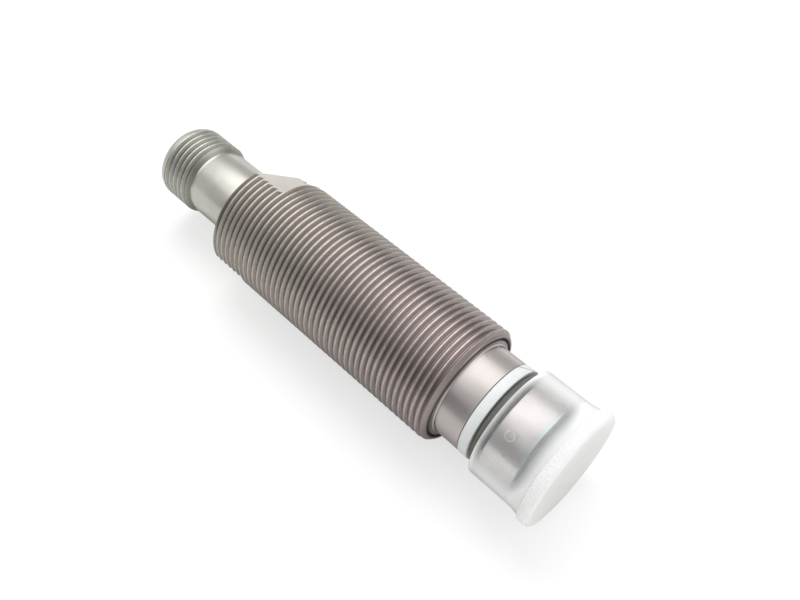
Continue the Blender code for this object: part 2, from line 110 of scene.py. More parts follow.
def tidy(bm, distance=0.002 * mm):
    bmesh.ops.remove_doubles(bm, verts=bm.verts, dist=distance)
    bmesh.ops.dissolve_degenerate(bm, dist=distance, edges=bm.edges)
    bmesh.ops.recalc_face_normals(bm, faces=bm.faces)


def turned(outline, steps, edge=0.05 * mm, closed=True):
    bm = bmesh.new()
    drawLine(bm, softened(outline, edge, closed), closed)
    bmesh.ops.spin(bm, geom=everything(bm), cent=axisPoint, axis=along, dvec=(0.0, 0.0, 0.0),
                   angle=2 * math.pi, steps=steps, use_merge=True, use_duplicate=False)
    tidy(bm)
    return bm


def turnedTo(normal):  # a turn that keeps X and takes Z to this direction
    return Matrix((along, normal.cross(along), normal)).transposed().to_4x4()


def addPiece(name, bm):
    mesh = bpy.data.meshes.new(name)
    bm.to_mesh(mesh)
    bm.free()
    shadeSmooth(mesh)
    piece = bpy.data.objects.new(name, mesh)
    bpy.context.scene.collection.objects.link(piece)
    return piece


def shadeSmooth(mesh, smoothAngle=35.0):
    mesh.shade_smooth()
    mesh.set_sharp_from_angle(angle=math.radians(smoothAngle))


def carve(piece, tool, operation):  # cuts, joins or trims a piece with another, which is used up
    modifier = piece.modifiers.new("carve", "BOOLEAN")
    modifier.operation = operation
    modifier.solver = "MANIFOLD"
    modifier.object = tool
    bpy.context.view_layer.update()
    carved = bpy.data.meshes.new_from_object(piece.evaluated_get(bpy.context.evaluated_depsgraph_get()))
    piece.modifiers.remove(modifier)
    blank = piece.data
    piece.data = carved
    carved.name = piece.name
    bpy.data.meshes.remove(blank)
    bpy.data.meshes.remove(tool.data)
    shadeSmooth(carved)


def dropSlivers(piece):  # hair-thin faces that carving leaves along its cuts
    hair = 0.0005 * mm
    bm = bmesh.new()
    bm.from_mesh(piece.data)
    tidy(bm, hair)
    bm.to_mesh(piece.data)
    bm.free()
    shadeSmooth(piece.data)
    return piece


# Form that both threads share
fineThread = {
    "pitch": 1.0 * mm,
    "depth": 0.55 * mm,
    "crestFlat": 0.24 * mm,
    "flankAngle": math.radians(30.0),
    "rounding": 0.09 * mm,
    "spareTurns": 3,  # wound past the ends and cut away again
    "turnSeam": 0.004 * mm,  # closes the seam between two turns
    "cutSnap": 0.0001 * mm,
    "clearance": 0.1 * mm,  # from the crests to the envelope that trims the ends
}


def threadedRod(crest, start, end, crestPlace, steps):  # a solid rod with one thread wound along it
    pitch, depth = fineThread["pitch"], fineThread["depth"]
    spare = fineThread["spareTurns"]
    root = crest - depth
    crestHalf = fineThread["crestFlat"] / 2
    flankRun = depth * math.tan(fineThread["flankAngle"])
    profile = [(-pitch / 2, root), (-crestHalf - flankRun, root), (-crestHalf, crest),
               (crestHalf, crest), (crestHalf + flankRun, root), (pitch / 2, root)]
    first = start + crestPlace - spare * pitch
    bm = bmesh.new()
    rounded = softened(profile, fineThread["rounding"], False)
    drawLine(bm, [(first + x, radius) for x, radius in rounded], False)
    bmesh.ops.spin(bm, geom=everything(bm), cent=axisPoint, axis=along, dvec=along * pitch / steps,
                   angle=2 * math.pi, steps=steps, use_merge=False, use_duplicate=False)
    rod = addPiece("oneTurn", bm)
    array = rod.modifiers.new("turns", "ARRAY")
    array.count = math.ceil((end - start) / pitch) + 2 * spare - 1
    array.use_relative_offset = False
    array.use_constant_offset = True
    array.constant_offset_displace = along * pitch
    array.use_merge_vertices = True
    array.merge_threshold = fineThread["turnSeam"]
    bpy.context.view_layer.update()
    wound = rod.evaluated_get(bpy.context.evaluated_depsgraph_get())
    bm = bmesh.new()
    bm.from_mesh(wound.to_mesh())
    wound.to_mesh_clear()
    bpy.data.meshes.remove(rod.data)
    for place, side in ((start - pitch, -1), (end + pitch, 1)):
        bmesh.ops.bisect_plane(bm, geom=everything(bm), dist=fineThread["cutSnap"], plane_co=along * place,
                               plane_no=along * side, clear_outer=True)
    bmesh.ops.holes_fill(bm, edges=[edge for edge in bm.edges if edge.is_boundary], sides=0)
    bmesh.ops.recalc_face_normals(bm, faces=bm.faces)
    return bm


# Threaded barrel with its wrench flats and sealing nose
barrel = {
    "crestPlace": 0.924 * mm,  # a crest, from the rear end
    "threadSteps": 96,
    "threadInside": 7.1 * mm,  # what lies outside it takes the thread's finish
    "chamfer": 0.6 * mm,
    "jointRadius": 7.85 * mm,  # fine joint line on the shoulder
    "jointHalf": 0.24 * mm,
    "jointDepth": 0.4 * mm,
    "noseRadius": 7.0 * mm,
    "noseFillet": 0.15 * mm,
    "grooveStart": 4.15 * mm,  # from the shoulder
    "grooveEnd": 7.85 * mm,
    "grooveRadius": 5.5 * mm,
    "tipChamfer": (0.8 * mm, 0.45 * mm),
    "pocketRadius": 6.0 * mm,
    "pocketDepth": 4.5 * mm,
    "boreRadius": 5.0 * mm,
    "noseBoreRadius": 4.0 * mm,
    "boreEnd": 39.0 * mm,  # from the rear end
    "socketRadius": 5.5 * mm,
    "socketDepth": 5.8 * mm,
    "flatLength": 6.2 * mm,
    "cutterReach": 10.0 * mm,
    "steps": 128,
}


def barrelOutline():
    rear, tip = barrelLow.x, barrelHigh.x
    margin = fineThread["clearance"]
    edge = barrelCrest - barrel["chamfer"]
    run = barrel["chamfer"] + margin
    radius, fillet = barrel["noseRadius"], barrel["noseFillet"]
    joint, jointHalf = barrel["jointRadius"], barrel["jointHalf"]
    grooveStart = shoulderPlace + barrel["grooveStart"]
    grooveEnd = shoulderPlace + barrel["grooveEnd"]
    tipLength, tipDepth = barrel["tipChamfer"]
    pocketFloor = tip - barrel["pocketDepth"]
    boreStep = barrel["boreRadius"] - barrel["noseBoreRadius"]
    return [
        (rear, barrel["socketRadius"]),
        (rear, edge),
        (rear + run, barrelCrest + margin),
        (shoulderPlace - run, barrelCrest + margin),
        (shoulderPlace, edge),
        (shoulderPlace, joint + jointHalf),
        (shoulderPlace - barrel["jointDepth"], joint),
        (shoulderPlace, joint - jointHalf),
        (shoulderPlace, radius + fillet),
        (shoulderPlace + fillet, radius),
        (grooveStart, radius),
        (grooveStart, barrel["grooveRadius"]),
        (grooveEnd, barrel["grooveRadius"]),
        (grooveEnd, radius),
        (tip - tipLength, radius),
        (tip, radius - tipDepth),
        (tip, barrel["pocketRadius"]),
        (pocketFloor, barrel["pocketRadius"]),
        (pocketFloor, barrel["noseBoreRadius"]),
        (rear + barrel["boreEnd"] + boreStep, barrel["noseBoreRadius"]),
        (rear + barrel["boreEnd"], barrel["boreRadius"]),
        (rear + barrel["socketDepth"], barrel["boreRadius"]),
        (rear + barrel["socketDepth"], barrel["socketRadius"]),
    ]


def flatCutter(mount):  # a block whose lower face lies on the wrench flat
    point, normal = Vector(mount["pos_m"]), Vector(mount["axis"])
    length, reach = barrel["flatLength"], barrel["cutterReach"]
    bm = bmesh.new()
    bmesh.ops.create_cube(bm, size=1.0)
    bmesh.ops.scale(bm, vec=(length + reach, 2 * reach, reach), verts=bm.verts)
    bmesh.ops.translate(bm, vec=((length - reach) / 2, 0.0, reach / 2), verts=bm.verts)
    place = Vector((barrelLow.x, point.y, point.z))
    bmesh.ops.transform(bm, matrix=Matrix.Translation(place) @ turnedTo(normal), verts=bm.verts)
    bmesh.ops.recalc_face_normals(bm, faces=bm.faces)
    return addPiece("flatCutter", bm)


def makeBarrel():
    rod = threadedRod(barrelCrest, barrelLow.x, barrelHigh.x, barrel["crestPlace"], barrel["threadSteps"])
    piece = addPiece("threaded_barrel", rod)
    envelope = turned(barrelOutline(), barrel["steps"])
    carve(piece, addPiece("barrelEnvelope", envelope), "INTERSECT")
    for name in ("upper_wrench_flat", "lower_wrench_flat"):
        carve(piece, flatCutter(mounts[name]), "DIFFERENCE")
    return dropSlivers(piece)


# Neck and screw plug at the rear
shell = {
    "crestPlace": 0.079 * mm,  # a crest, from the plug's rim
    "threadSteps": 72,
    "threadInside": 5.1 * mm,
    "leadIn": (1.3 * mm, 0.7 * mm),
    "leadSteps": 4,
    "overhang": 2.0 * mm,  # of the plain collar past the rim, trimmed with the envelope
    "plugEnd": 6.9 * mm,
    "runOut": 0.9 * mm,
    "neckStart": 7.5 * mm,
    "reliefRadius": 5.15 * mm,
    "neckRadius": 5.4 * mm,
    "socketRadius": 4.3 * mm,
    "socketDepth": 10.0 * mm,
    "carrierRadius": 4.6 * mm,
    "steps": 96,
}


def shellOutline():
    rim, end = shellLow.x, shellHigh.x
    margin = fineThread["clearance"]
    leadLength, leadDepth = shell["leadIn"]
    lead = []
    for turn in quarterTurn(shell["leadSteps"]):
        place = rim + leadLength * (1 - math.cos(turn))
        lead.append((place, shellCrest - leadDepth * (1 - math.sin(turn))))
    return [
        (rim, shell["socketRadius"]),
        *lead,
        (rim + leadLength + margin, shellCrest + margin),
        (rim + shell["plugEnd"] - shell["runOut"], shellCrest + margin),
        (rim + shell["plugEnd"], shell["reliefRadius"]),
        (rim + shell["neckStart"], shell["reliefRadius"]),
        (rim + shell["neckStart"], shell["neckRadius"]),
        (end, shell["neckRadius"]),
        (end, shell["carrierRadius"]),
        (rim + shell["socketDepth"], shell["carrierRadius"]),
        (rim + shell["socketDepth"], shell["socketRadius"]),
    ]


def makeShell():
    rod = threadedRod(shellCrest, shellLow.x, shellHigh.x, shell["crestPlace"], shell["threadSteps"])
    piece = addPiece("plug_shell", rod)
    start = shellLow.x - shell["overhang"]
    end = shellLow.x + shell["leadIn"][0]
    collar = [(start, 0.0), (start, shellCrest), (end, shellCrest), (end, 0.0)]
    carve(piece, addPiece("plainCollar", turned(collar, shell["steps"], 0.0, False)), "UNION")
    envelope = turned(shellOutline(), shell["steps"])
    carve(piece, addPiece("shellEnvelope", envelope), "INTERSECT")
    return dropSlivers(piece)


# Pin insert inside the plug
insert = {
    "noseRadius": 4.2 * mm,
    "bodyRadius": 4.5 * mm,
    "bodyStart": 1.5 * mm,  # from the insert's face
    "faceDepth": 8.6 * mm,  # from the plug's rim
    "dish": 0.15 * mm,
    "edge": 0.08 * mm,
    "keyWidth": 1.0 * mm,
    "keyHeight": 0.7 * mm,
    "keyGap": 0.1 * mm,
    "keyBevel": 0.12 * mm,
    "pinEdge": 0.01 * mm,
    "pinTipSteps": 5,
    "pinSteps": 32,
    "steps": 64,
}


def makeInsert():
    face = shellLow.x + insert["faceDepth"]
    step = face + insert["bodyStart"]
    outline = [(face + insert["dish"], 0.0), (face, insert["noseRadius"]), (step, insert["noseRadius"]),
               (step, insert["bodyRadius"]), (carrierHigh.x, insert["bodyRadius"]), (carrierHigh.x, 0.0)]
    piece = addPiece("pin_insert", turned(outline, insert["steps"], insert["edge"], False))
    bm = bmesh.new()
    bmesh.ops.create_cube(bm, size=1.0)
    keyLength = face + insert["keyHeight"] - carrierLow.x
    bmesh.ops.scale(bm, vec=(keyLength, insert["keyWidth"], insert["keyHeight"]), verts=bm.verts)
    keyMiddle = insert["noseRadius"] - insert["keyGap"] - insert["keyHeight"] / 2
    bmesh.ops.translate(bm, vec=(carrierLow.x + keyLength / 2, 0.0, keyMiddle), verts=bm.verts)
    bmesh.ops.bevel(bm, geom=bm.edges[:], offset=insert["keyBevel"], segments=3, profile=0.5,
                    affect="EDGES", material=-1)
    bmesh.ops.transform(bm, matrix=Matrix.Translation(axisPoint) @ turnedTo(flatNormal), verts=bm.verts)
    bmesh.ops.recalc_face_normals(bm, faces=bm.faces)
    carve(piece, addPiece("keyRib", bm), "UNION")
    return piece


def makePin(number):
    low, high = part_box(f"contact_pin_{number}")
    radius = halfHeight(low, high)
    tip = [(low.x + radius * (1 - math.cos(turn)), radius * math.sin(turn))
           for turn in quarterTurn(insert["pinTipSteps"])]
    outline = tip + [(high.x, radius), (high.x, 0.0)]
    bm = turned(outline, insert["pinSteps"], insert["pinEdge"], False)
    middle = (low + high) / 2 - axisPoint
    bmesh.ops.translate(bm, vec=(0.0, middle.y, middle.z), verts=bm.verts)
    return addPiece(f"plug_pin_{number}", bm)


# Seals and sensing face on the nose
seals = {
    "ringEdge": 0.14 * mm,
    "ringInner": 5.6 * mm,
    "cutWidth": 0.16 * mm,
    "cutSlant": math.radians(35.0),
    "cutPlace": math.radians(51.0),  # from +Y towards +Z
    "sawLength": 8.0 * mm,
    "sawHeight": 4.0 * mm,
    "cordPoints": 24,
    "cordEdge": 0.01 * mm,
    "faceEdge": 0.15 * mm,
    "faceSteps": 96,
    "steps": 128,
}


def makeBackupRing():
    outer = halfHeight(ringLow, ringHigh)
    outline = [(ringLow.x, seals["ringInner"]), (ringLow.x, outer), (ringHigh.x, outer),
               (ringHigh.x, seals["ringInner"])]
    piece = addPiece("split_ring", turned(outline, seals["steps"], seals["ringEdge"]))
    bm = bmesh.new()
    bmesh.ops.create_cube(bm, size=1.0)
    bmesh.ops.scale(bm, vec=(seals["sawLength"], seals["cutWidth"], seals["sawHeight"]), verts=bm.verts)
    middle = Vector(((ringLow.x + ringHigh.x) / 2, 0.0, axisHeight))
    turn = Matrix.Rotation(seals["cutPlace"] - math.pi / 2, 4, "X")
    slant = Matrix.Rotation(math.pi / 2 - seals["cutSlant"], 4, "Z")
    bmesh.ops.transform(bm, matrix=Matrix.Translation(middle) @ turn
                        @ Matrix.Translation((0.0, 0.0, outer)) @ slant, verts=bm.verts)
    bmesh.ops.recalc_face_normals(bm, faces=bm.faces)
    carve(piece, addPiece("ringSaw", bm), "DIFFERENCE")
    return piece


def makeSeal():
    outer = halfHeight(sealLow, sealHigh)
    cord = (sealHigh.x - sealLow.x) / 2
    middle = (sealLow.x + sealHigh.x) / 2
    count = seals["cordPoints"]
    outline = [(middle + cord * math.cos(turn), outer - cord + cord * math.sin(turn))
               for turn in (2 * math.pi * index / count for index in range(count))]
    return addPiece("dark_o_ring", turned(outline, seals["steps"], seals["cordEdge"]))


def makeFace():
    radius = halfHeight(faceLow, faceHigh)
    outline = [(faceLow.x, 0.0), (faceLow.x, radius), (faceHigh.x, radius), (faceHigh.x, 0.0)]
    return addPiece("face_disc", turned(outline, seals["faceSteps"], seals["faceEdge"], False))


# Push-on cap
cap = {
    "boreRadius": 7.3 * mm,
    "bodyRadius": 8.05 * mm,
    "floor": 1.4 * mm,
    "floorBevel": 0.6 * mm,
    "rimBevel": (0.3 * mm, 0.2 * mm),
    "flangeWidth": 1.7 * mm,
    "flareLength": 1.9 * mm,
    "flareRise": 0.35 * mm,
    "flareSteps": 6,
    "lipRound": 0.35 * mm,
    "endRound": 0.7 * mm,
    "endSteps": 4,
    "ribCount": 140,
    "ribDepth": 0.09 * mm,
    "ribReach": 0.35 * mm,  # how far the ribs come round the rim's corner
    "ribEnd": 0.3 * mm,  # where they stop, from the end face
    # small ring and dot that moulding leaves on the side
    "gate": {"along": 2.9 * mm, "around": math.radians(125.0), "ring": 0.6 * mm, "wire": 0.15 * mm},
    "dot": {"along": 4.5 * mm, "around": math.radians(139.0), "ring": 0.0, "wire": 0.2 * mm},
}
flangePlace = capHigh.x - cap["flangeWidth"]


def capOutline():
    rim, end = capLow.x, capHigh.x
    body, bore = cap["bodyRadius"], cap["boreRadius"]
    floor, bevel = end - cap["floor"], cap["floorBevel"]
    rimLength, rimDepth = cap["rimBevel"]
    flare = []
    for index in range(cap["flareSteps"] + 1):
        share = index / cap["flareSteps"]
        place = flangePlace - cap["flareLength"] * (1 - share)
        flare.append((place, body + cap["flareRise"] * share ** 2))
    corner = cap["endRound"]
    edge = []
    for turn in quarterTurn(cap["endSteps"]):
        edge.append((end - corner * (1 - math.sin(turn)), capRadius - corner * (1 - math.cos(turn))))
    return [
        (floor, 0.0),
        (floor, bore - bevel),
        (floor - bevel, bore),
        (rim + rimLength, bore),
        (rim, bore + rimDepth),
        (rim, body),
        *flare,
        (flangePlace, capRadius),
        *edge,
        (end, 0.0),
    ]


def makeCap():
    steps = 2 * cap["ribCount"]
    bm = turned(capOutline(), steps, cap["lipRound"], False)
    pitch = 2 * math.pi / steps
    for corner in bm.verts:
        out = corner.co - axisPoint
        out.x = 0.0
        onRim = out.length > capRadius - cap["ribReach"] and corner.co.x < capHigh.x - cap["ribEnd"]
        if onRim and round(math.atan2(out.z, out.y) / pitch) % 2:
            corner.co -= out.normalized() * cap["ribDepth"]
    return addPiece("milky_cap", bm)


# Shader maths as plain expressions
class Strand:
    def __init__(self, tree, socket):
        self.tree = tree
        self.socket = socket

    def node(self, kind, settings, sockets, output=0):
        made = self.tree.nodes.new(kind)
        for name, value in settings.items():
            if name == "stops":
                self.setStops(made.color_ramp, value)
            else:
                setattr(made, name, value)
        for name, value in sockets.items():
            if isinstance(value, Strand):
                self.tree.links.new(value.socket, made.inputs[name])
            else:
                made.inputs[name].default_value = value
        return Strand(self.tree, made.outputs[output])

    def setStops(self, ramp, stops):
        for index, (place, colour) in enumerate(stops):
            stop = ramp.elements[index] if index < 2 else ramp.elements.new(place)
            stop.position = place
            stop.color = colour

    def other(self, output):  # another output of the same node
        return Strand(self.tree, self.socket.node.outputs[output])

    def math(self, operation, *values):
        return self.node("ShaderNodeMath", {"operation": operation}, dict(enumerate(values)))

    def __add__(self, value):
        return self.math("ADD", self, value)

    def __sub__(self, value):
        return self.math("SUBTRACT", self, value)

    def __rsub__(self, value):
        return self.math("SUBTRACT", value, self)

    def __mul__(self, value):
        return self.math("MULTIPLY", self, value)

    def __truediv__(self, value):
        return self.math("DIVIDE", self, value)

    def __pow__(self, value):
        return self.math("POWER", self, value)

    __radd__ = __add__

    def ramp(self, low, high):  # 0 below low, 1 above high, smooth between
        return self.node("ShaderNodeMapRange", {"interpolation_type": "SMOOTHSTEP"},
                         {"Value": self, "From Min": low, "From Max": high})

    def blend(self, first, second):  # colours mixed by this mask
        return self.node("ShaderNodeMix", {"data_type": "RGBA"}, {0: self, 6: first, 7: second}, 2)

    def split(self):  # X, with Y and Z as the other outputs
        return self.node("ShaderNodeSeparateXYZ", {}, {0: self})

    def noise(self, scale, stretch=(1.0, 1.0, 1.0), detail=3.0, rough=0.55):
        placed = self.node("ShaderNodeMapping", {}, {"Vector": self, "Scale": stretch})
        return self.node("ShaderNodeTexNoise", {}, {"Vector": placed, "Scale": scale, "Detail": detail,
                                                    "Roughness": rough})

    def bump(self, strength, distance):
        return self.node("ShaderNodeBump", {}, {"Strength": strength, "Distance": distance, "Height": self})


def startMaterial(name, plain):
    material = bpy.data.materials.new(name)
    material.use_nodes = True
    tree = material.node_tree
    shader = tree.nodes["Principled BSDF"]
    for socket, value in plain.items():
        shader.inputs[socket].default_value = value
    return material, Strand(tree, tree.nodes.new("ShaderNodeTexCoord").outputs["Object"])


def feed(material, varying):
    tree = material.node_tree
    for socket, strand in varying.items():
        tree.links.new(strand.socket, tree.nodes["Principled BSDF"].inputs[socket])


def axisRadius(parts):  # how far a point lies from the sensor's axis
    across = parts.other("Y")
    height = parts.other("Z") - axisHeight
    return (across * across + height * height) ** 0.5


# Turned steel of the barrel, the plug and the nose
steel = {
    # crest, flank and root colours: the darker flanks and roots are painted shade in the thread's grooves
    "rear": {
        "crest": (0.66, 0.62, 0.575, 1.0),
        "flank": (0.41, 0.375, 0.335, 1.0),
        "root": (0.37, 0.335, 0.30, 1.0),
    },
    "front": {
        "crest": (0.62, 0.56, 0.55, 1.0),
        "flank": (0.44, 0.38, 0.37, 1.0),
        "root": (0.39, 0.335, 0.325, 1.0),
    },
    "plug": {
        "crest": (0.74, 0.735, 0.68, 1.0),
        "flank": (0.47, 0.465, 0.42, 1.0),
        "root": (0.34, 0.335, 0.295, 1.0),
    },
    "neck": {
        "colour": (0.72, 0.705, 0.645, 1.0),
        "shade": (0.63, 0.615, 0.56, 1.0),
        "roughness": 0.15,
        "metallic": 1.0,
    },
    "flat": {
        "colour": (0.70, 0.67, 0.615, 1.0),
        "shade": (0.63, 0.60, 0.55, 1.0),
        "roughness": 0.34,
        "metallic": 0.5,
    },
    "nose": {
        "open": (0.66, 0.615, 0.60, 1.0),
        # lighter where the cap covers the nose: painted highlight seen through the cap
        "paintedCapHighlight": (0.90, 0.85, 0.84, 1.0),
        "paintedCapHighlightFrom": (-0.1 * mm, 0.6 * mm),  # from the cap's rim; the lighter colour under the cap is a painted highlight
        "tip": (0.78, 0.84, 0.85, 1.0),
        "tipFrom": (-1.9 * mm, -1.1 * mm),  # from the nose's end
        "speck": (0.42, 0.38, 0.36, 1.0),
        "specks": 1500.0,  # these and the scales below are per metre
        "roughness": 0.2,
    },
    "crestLine": 0.1 * mm,  # how far down from its top a crest keeps its bright colour, above the flanks' painted shade
    "crestTop": 0.02 * mm,
    # depth over which the roots are painted darker, as painted shade
    "rootShade": 0.3 * mm,
    "threadPatches": 260.0,
    "mottle": 1700.0,
    "turnedPatches": 320.0,
    "toolMarks": 9000.0,
    "toolRun": 60.0,
    "toolDepth": 0.01 * mm,
}


def toolLines(place):  # fine rings left by turning
    return place.noise(1.0, (steel["toolMarks"], steel["toolRun"], steel["toolRun"]), detail=2.0)


def makeThreadSteel(name, crest, rear, front):
    material, place = startMaterial(name, {"Metallic": 1.0})
    parts = place.split()
    radius = axisRadius(parts)
    root = crest - fineThread["depth"]
    drift = parts.ramp(barrelLow.x, shoulderPlace)
    # the crests keep the bright colour; the flanks and, deeper down, the roots get painted shade
    unshadedCrest = radius.ramp(crest - steel["crestLine"], crest - steel["crestTop"])
    paintedRootShade = 1 - radius.ramp(root, root + steel["rootShade"])
    patches = place.noise(steel["threadPatches"], detail=4.0)
    mottle = place.noise(steel["mottle"], detail=3.0).ramp(0.35, 0.7)
    crests, flanks, roots = (drift.blend(rear[zone], front[zone]) for zone in ("crest", "flank", "root"))
    colour = (unshadedCrest - mottle * 0.3).blend(flanks, crests)
    shaded = (paintedRootShade + patches.ramp(0.4, 0.8) * 0.2 + mottle * 0.25).blend(colour, roots)
    feed(material, {"Base Color": shaded,
                    "Roughness": 0.22 - unshadedCrest * 0.04 + paintedRootShade * 0.04 + patches * 0.08,
                    "Normal": toolLines(place).bump(0.08, steel["toolDepth"])})
    return material


def makeTurnedSteel(name, look):
    material, place = startMaterial(name, {"Metallic": look["metallic"]})
    patches = place.noise(steel["turnedPatches"], detail=4.0)
    lines = toolLines(place)
    feed(material, {"Base Color": patches.ramp(0.35, 0.8).blend(look["colour"], look["shade"]),
                    "Roughness": look["roughness"] + patches * 0.05 + lines * 0.06,
                    "Normal": lines.bump(0.15, steel["toolDepth"])})
    return material


def makeNoseSteel():
    look = steel["nose"]
    material, place = startMaterial("noseSteel", {"Metallic": 1.0})
    parts = place.split()
    patches = place.noise(steel["turnedPatches"], detail=4.0)
    lines = toolLines(place)
    specks = place.noise(look["specks"], detail=1.0).ramp(0.72, 0.78)
    # painted highlight: the nose is lighter where the cap covers it
    paintedCapHighlight = parts.ramp(*(capLow.x + reach for reach in look["paintedCapHighlightFrom"]))
    tip = parts.ramp(*(barrelHigh.x + reach for reach in look["tipFrom"]))
    colour = tip.blend(paintedCapHighlight.blend(look["open"], look["paintedCapHighlight"]), look["tip"])
    dull = specks * 0.5 + patches.ramp(0.35, 0.8) * 0.15
    feed(material, {"Base Color": dull.blend(colour, look["speck"]),
                    "Roughness": look["roughness"] + patches * 0.05 + lines * 0.06,
                    "Normal": lines.bump(0.15, steel["toolDepth"])})
    return material


# Plain plastics: colour, shade, roughness, grains per metre, strength of the grain
plastics = {
    "whitePlastic": ((0.82, 0.845, 0.845, 1.0), (0.77, 0.80, 0.80, 1.0), 0.4, 3000.0, 0.05),
    "darkRubber": ((0.11, 0.11, 0.095, 1.0), (0.14, 0.14, 0.12, 1.0), 0.5, 6000.0, 0.15),
    "blackPlastic": ((0.03, 0.03, 0.03, 1.0), (0.045, 0.045, 0.045, 1.0), 0.45, 5000.0, 0.1),
    "facePlastic": ((0.22, 0.27, 0.28, 1.0), (0.26, 0.31, 0.32, 1.0), 0.45, 4000.0, 0.08),
    "castResin": ((0.05, 0.045, 0.04, 1.0), (0.07, 0.06, 0.05, 1.0), 0.3, 2000.0, 0.05),
    "boardGreen": ((0.02, 0.16, 0.07, 1.0), (0.03, 0.20, 0.09, 1.0), 0.4, 3000.0, 0.05),
    "ferriteGrey": ((0.06, 0.06, 0.065, 1.0), (0.09, 0.09, 0.09, 1.0), 0.7, 7000.0, 0.2),
    "paleNylon": ((0.70, 0.68, 0.60, 1.0), (0.64, 0.62, 0.54, 1.0), 0.5, 3000.0, 0.05),
    "chipBlack": ((0.02, 0.02, 0.02, 1.0), (0.035, 0.035, 0.035, 1.0), 0.5, 6000.0, 0.1),
    "firedCeramic": ((0.55, 0.42, 0.28, 1.0), (0.48, 0.36, 0.24, 1.0), 0.5, 5000.0, 0.1),
    "brownJacket": ((0.25, 0.12, 0.06, 1.0), (0.20, 0.09, 0.05, 1.0), 0.5, 4000.0, 0.05),
}
# Plain metals: colour, shade, roughness
metals = {
    "goldMetal": ((0.90, 0.66, 0.27, 1.0), (0.82, 0.58, 0.22, 1.0), 0.2),
    "copperWire": ((0.72, 0.36, 0.20, 1.0), (0.62, 0.28, 0.14, 1.0), 0.3),
}


def makePlastic(name, colour, shade, roughness, grain, strength):
    patchScale = 0.2 * grain
    grainDepth = 0.02 * mm
    material, place = startMaterial(name, {})
    patches = place.noise(patchScale, detail=4.0)
    fine = place.noise(grain, detail=2.0)
    feed(material, {"Base Color": patches.ramp(0.3, 0.75).blend(colour, shade),
                    "Roughness": roughness - 0.05 + fine * 0.1, "Normal": fine.bump(strength, grainDepth)})
    return material


def makeMetal(name, colour, shade, roughness):
    patchScale = 900.0  # per metre
    patchDepth = 0.01 * mm
    material, place = startMaterial(name, {"Metallic": 1.0})
    patches = place.noise(patchScale, detail=4.0)
    feed(material, {"Base Color": patches.ramp(0.3, 0.75).blend(colour, shade),
                    "Roughness": roughness + patches * 0.1, "Normal": patches.bump(0.05, patchDepth)})
    return material


# Translucent plastic of the cap
milk = {
    "clear": (1.0, 1.0, 1.0, 1.0),
    "cloudy": (0.885, 0.89, 0.89, 1.0),
    "thick": (0.955, 0.96, 0.96, 1.0),
    "outer": (0.60, 0.61, 0.615, 1.0),  # painted shade where the plastic turns away from the eye, darkening the cap's outline
    "paintedEdgeShadeFrom": (0.68, 0.97),
    "ior": 1.36,
    "clearRoughness": 0.14,
    "cloudyRoughness": 0.4,
    "thickRoughness": 0.36,
    "spread": 3.0 * mm,  # how far light travels inside the flange and the floor
    "haze": 0.11,  # share of each surface that scatters, seen straight on
    "edgeHaze": 0.75,
    "edgeFrom": (0.15, 0.62),
    "thickHaze": 0.8,  # added towards the flange
    "thickFrom": (-2.5 * mm, -0.1 * mm),  # from the flange
    "rimHaze": 0.55,
    "rimLength": 0.8 * mm,
    "markHaze": 0.22,
    "cloudHaze": 0.12,
    "clouds": 240.0,  # per metre, as the grain is
    "grain": 2600.0,
    "grainDepth": 0.02 * mm,
    "endFrom": 0.1 * mm,  # the end face, from the cap's end
    "markSkin": 0.2 * mm,  # keeps the marks off the inner side of the wall
    "markFade": 1.0 * mm,  # and off the far side of the cap
}


def turnedAway(place):  # 0 seen straight on, 1 at the very edge
    return place.node("ShaderNodeLayerWeight", {}, {"Blend": 0.5}, "Facing")


def markMask(parts, radius, mark):  # white on a small ring or dot on the cap's side
    cosine, sine = math.cos(mark["around"]), math.sin(mark["around"])
    across = parts.other("Y")
    height = parts.other("Z") - axisHeight
    out = across * cosine + height * sine
    aside = height * cosine - across * sine
    ahead = parts - (capLow.x + mark["along"])
    reach = (ahead * ahead + aside * aside) ** 0.5 - mark["ring"]
    line = 1 - reach.math("ABSOLUTE", reach).ramp(0.0, mark["wire"])
    skin = milk["markSkin"]
    outside = radius.ramp(cap["boreRadius"] + skin, cap["bodyRadius"] - skin)
    return line * out.ramp(0.0, milk["markFade"]) * outside


def makeMilk():
    material, place = startMaterial("milkyPlastic", {"Base Color": milk["clear"], "IOR": milk["ior"],
                                                     "Transmission Weight": 1.0})
    tree = material.node_tree
    parts = place.split()
    radius = axisRadius(parts)
    clouds = place.noise(milk["clouds"], detail=3.0)
    fine = place.noise(milk["grain"], detail=2.0)
    marks = markMask(parts, radius, cap["gate"]) + markMask(parts, radius, cap["dot"])
    skin = (marks * 4 + fine * 0.2).bump(0.2, milk["grainDepth"])
    feed(material, {"Roughness": milk["clearRoughness"] + clouds * 0.05, "Normal": skin})
    away = turnedAway(place)
    # painted shade towards the cap's outline
    shade = away.ramp(*milk["paintedEdgeShadeFrom"]).blend(milk["cloudy"], milk["outer"])
    cloudy = place.node("ShaderNodeBsdfPrincipled", {}, {"Base Color": shade, "Normal": skin,
                                                         "Roughness": milk["cloudyRoughness"]})
    thick = parts.ramp(*(flangePlace + reach for reach in milk["thickFrom"]))
    rim = 1 - parts.ramp(capLow.x, capLow.x + milk["rimLength"])
    haze = milk["haze"] + away.ramp(*milk["edgeFrom"]) * milk["edgeHaze"] + thick * milk["thickHaze"]
    haze = haze + rim * milk["rimHaze"] + marks * milk["markHaze"] + (clouds - 0.5) * milk["cloudHaze"]
    clear = Strand(tree, tree.nodes["Principled BSDF"].outputs["BSDF"])
    mixed = place.node("ShaderNodeMixShader", {}, {0: haze.math("MINIMUM", haze, 1.0), 1: clear, 2: cloudy})
    tree.links.new(mixed.socket, tree.nodes["Material Output"].inputs["Surface"])
    return material


